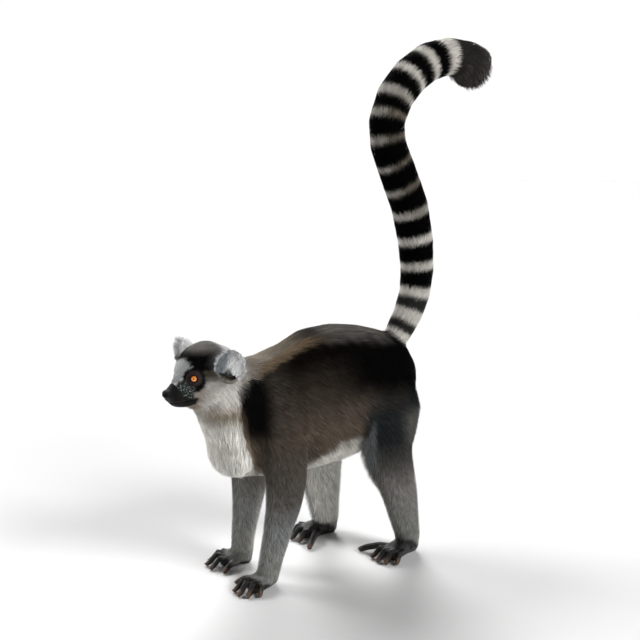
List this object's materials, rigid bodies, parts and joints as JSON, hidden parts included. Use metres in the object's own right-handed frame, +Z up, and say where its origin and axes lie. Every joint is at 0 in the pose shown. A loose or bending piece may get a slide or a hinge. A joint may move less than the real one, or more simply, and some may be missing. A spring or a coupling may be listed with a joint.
{
  "type": "ring-tailed lemur",
  "caption": "Life-size still ring-tailed lemur standing on all fours, long banded tail raised and curled back at its tip.",
  "frame": {"origin": "on the floor, under the middle of the animal's bounding box", "axes": "+Z up; the animal faces -Y and its left side is +X"},
  "size_m": [0.1802, 0.5263, 0.7194],
  "materials": {
    "coat_dark": "dense brown-grey fur with black-tipped hairs, a paler golden streak along the back, near black on the neck's sides and the rump",
    "coat_grey": "short blue-grey fur, paler on the inner sides",
    "coat_pale": "soft off-white fur on the face, throat, chest, belly and ears, with black eye patches and a dark grey crown",
    "coat_banded": "long fur in alternate black and off-white bands, ending in a black brush",
    "bare_skin": "bare black leathery skin with a soft sheen, brown at the finger tips",
    "eye": "wet, glossy orange iris with a round black pupil",
    "nail": "smooth dark brown nails with a slight gloss"
  },
  "bodies": {
    "root": {"head": "coat_pale", "lower_jaw": "bare_skin", "nose": "bare_skin", "eye_left": "eye", "eye_right": "eye", "ear_left": "coat_pale", "ear_right": "coat_pale", "neck": "coat_pale", "chest": "coat_dark", "abdomen": "coat_dark", "rump": "coat_dark", "upper_arm_left": "coat_dark", "forearm_left": "coat_grey", "hand_left": "bare_skin", "thigh_left": "coat_dark", "shank_left": "coat_grey", "foot_left": "bare_skin", "upper_arm_right": "coat_dark", "forearm_right": "coat_grey", "hand_right": "bare_skin", "thigh_right": "coat_dark", "shank_right": "coat_grey", "foot_right": "bare_skin", "tail_base": "coat_banded", "tail_lower": "coat_banded", "tail_middle": "coat_banded", "tail_upper": "coat_banded", "tail_tip": "coat_banded"}
  },
  "joints": []
}
